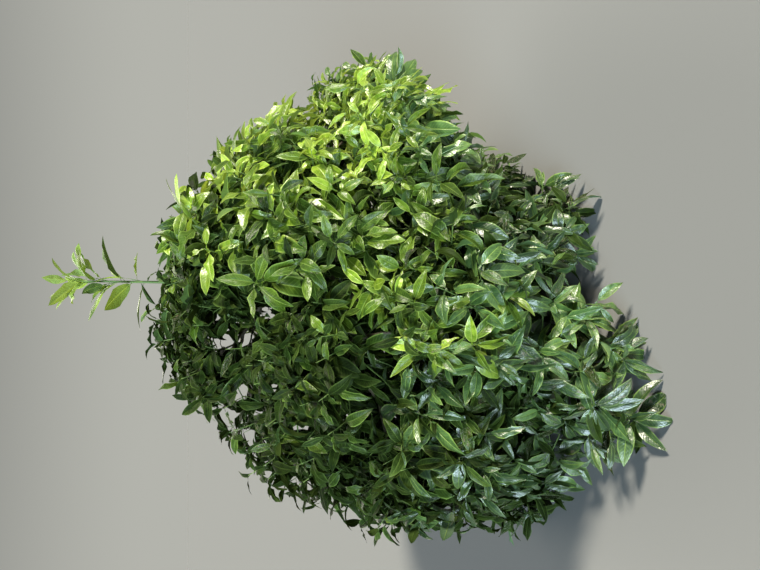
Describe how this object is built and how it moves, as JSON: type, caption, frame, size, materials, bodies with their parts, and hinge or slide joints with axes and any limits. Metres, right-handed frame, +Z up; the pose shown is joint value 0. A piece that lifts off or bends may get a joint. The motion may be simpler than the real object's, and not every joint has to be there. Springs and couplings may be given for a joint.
{
  "type": "grapefruit tree",
  "caption": "Low dense grapefruit tree: a short hidden trunk, arching boughs and glossy evergreen foliage down to the ground, with one upright shoot over the crown.",
  "frame": {"origin": "centre of the flat cut under the trunk, at ground level", "axes": "+Z up along the trunk, the front of the crown faces -Y, +X to the right seen from the front"},
  "size_m": [2.142, 1.9848, 1.9222],
  "materials": {
    "bark": "grey-brown citrus bark with fine cracks and greener young wood",
    "green_stem": "smooth green young wood",
    "deep_leaf": "glossy deep green leaves with pale midribs",
    "mid_leaf": "glossy mid green leaves with pale midribs",
    "bright_leaf": "glossy yellow-green leaves in the sun",
    "young_leaf": "soft pale green new leaves"
  },
  "bodies": {
    "root": {"trunk": "bark", "bough_1": "bark", "bough_2": "bark", "bough_3": "bark", "bough_4": "bark", "bough_5": "bark", "bough_6": "bark", "bough_7": "bark", "bough_8": "bark", "shoot_stem": "green_stem", "shoot_mass": "young_leaf", "skirt_mass_1": "deep_leaf", "skirt_mass_2": "deep_leaf", "skirt_mass_3": "deep_leaf", "skirt_mass_4": "deep_leaf", "skirt_mass_5": "deep_leaf", "skirt_mass_6": "deep_leaf", "skirt_mass_7": "deep_leaf", "skirt_mass_8": "deep_leaf", "waist_mass_1": "mid_leaf", "waist_mass_2": "bright_leaf", "waist_mass_3": "bright_leaf", "waist_mass_4": "mid_leaf", "waist_mass_5": "mid_leaf", "waist_mass_6": "mid_leaf", "waist_mass_7": "mid_leaf", "waist_mass_8": "mid_leaf", "shoulder_mass_1": "mid_leaf", "shoulder_mass_2": "bright_leaf", "shoulder_mass_3": "bright_leaf", "shoulder_mass_4": "mid_leaf", "shoulder_mass_5": "mid_leaf", "shoulder_mass_6": "mid_leaf", "top_mass_1": "bright_leaf", "top_mass_2": "mid_leaf", "top_mass_3": "mid_leaf"}
  },
  "joints": []
}
